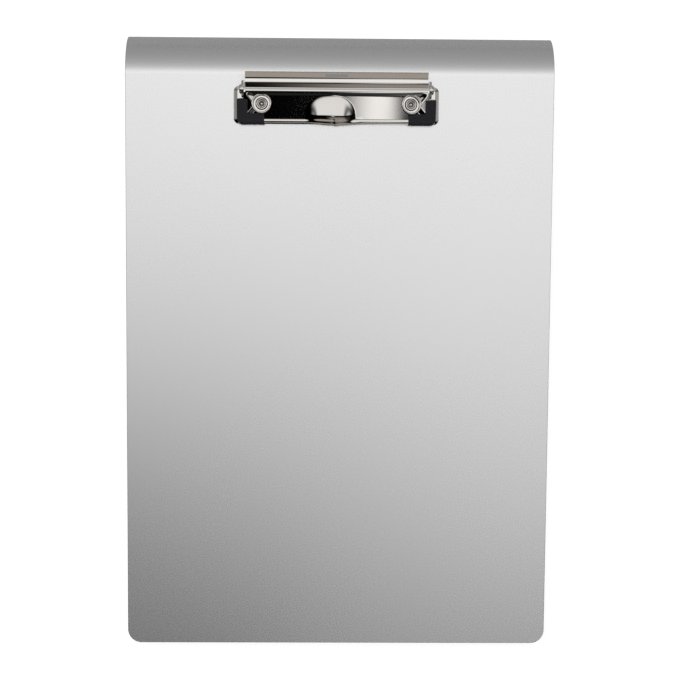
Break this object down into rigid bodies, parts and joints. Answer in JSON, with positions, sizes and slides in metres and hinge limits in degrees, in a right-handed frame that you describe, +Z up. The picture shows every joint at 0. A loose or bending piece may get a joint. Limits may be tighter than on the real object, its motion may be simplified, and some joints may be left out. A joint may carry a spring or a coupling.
{
  "type": "storage clipboard",
  "caption": "Aluminium storage clipboard box: a writing lid with a rolled top end, hinged on a wedge-shaped tray, with a sprung low-profile clip.",
  "frame": {"origin": "middle of the box's footprint, on the table under the feet", "axes": "+X across the lid to the user's right, +Y towards the rolled top end with the hinge, +Z up"},
  "size_m": [0.23, 0.3326, 0.0564],
  "materials": {
    "lid_sheet": "satin anodised sheet",
    "tray_sheet": "satin mill sheet",
    "clip_chrome": "bright nickel chrome",
    "spring_steel": "bright drawn wire",
    "hardware_steel": "turned and zinc plated",
    "rivet_aluminium": "bright set rivet",
    "black_rubber": "matt moulded",
    "grey_rubber": "matt moulded",
    "washer_plastic": "natural",
    "magnet_nickel": "nickel plated"
  },
  "bodies": {
    "tray": {"base_pan": "tray_sheet", "side_wall_left": "tray_sheet", "side_wall_right": "tray_sheet", "tray_rivets": "rivet_aluminium", "pivot_pin_left": "hardware_steel", "pivot_pin_right": "hardware_steel", "pivot_washer_left": "washer_plastic", "pivot_washer_right": "washer_plastic", "foot_front_left": "grey_rubber", "foot_front_right": "grey_rubber", "foot_rear_left": "grey_rubber", "foot_rear_right": "grey_rubber", "magnet_left": "magnet_nickel", "magnet_right": "magnet_nickel", "lid_bumper_left": "grey_rubber", "lid_bumper_right": "grey_rubber"},
    "lid": {"lid_plate": "lid_sheet", "cheek_left": "lid_sheet", "cheek_right": "lid_sheet", "strike_left": "hardware_steel", "strike_right": "hardware_steel", "clip_base": "clip_chrome", "clip_rivet_left": "clip_chrome", "clip_rivet_right": "clip_chrome", "rivet_washer_left": "hardware_steel", "rivet_washer_right": "hardware_steel", "clip_pin": "clip_chrome", "spring_left": "spring_steel", "spring_right": "spring_steel"},
    "jaw": {"clip_jaw": "clip_chrome", "grip_left": "black_rubber", "grip_right": "black_rubber"}
  },
  "joints": [
    {"name": "lid_hinge", "type": "hinge", "parent": "tray", "child": "lid", "pos_m": [0, 0.14532, 0.0226], "axis": [-1, 0, 0], "range_deg": [0, 90]},
    {"name": "jaw_hinge", "type": "hinge", "parent": "lid", "child": "jaw", "pos_m": [0, 0.1353, 0.04762], "axis": [-1, 0, 0], "range_deg": [0, 26], "stiffness_Nm_per_rad": 0.3, "springref_deg": -34.38, "deforming": ["spring_left", "spring_right"]}
  ]
}
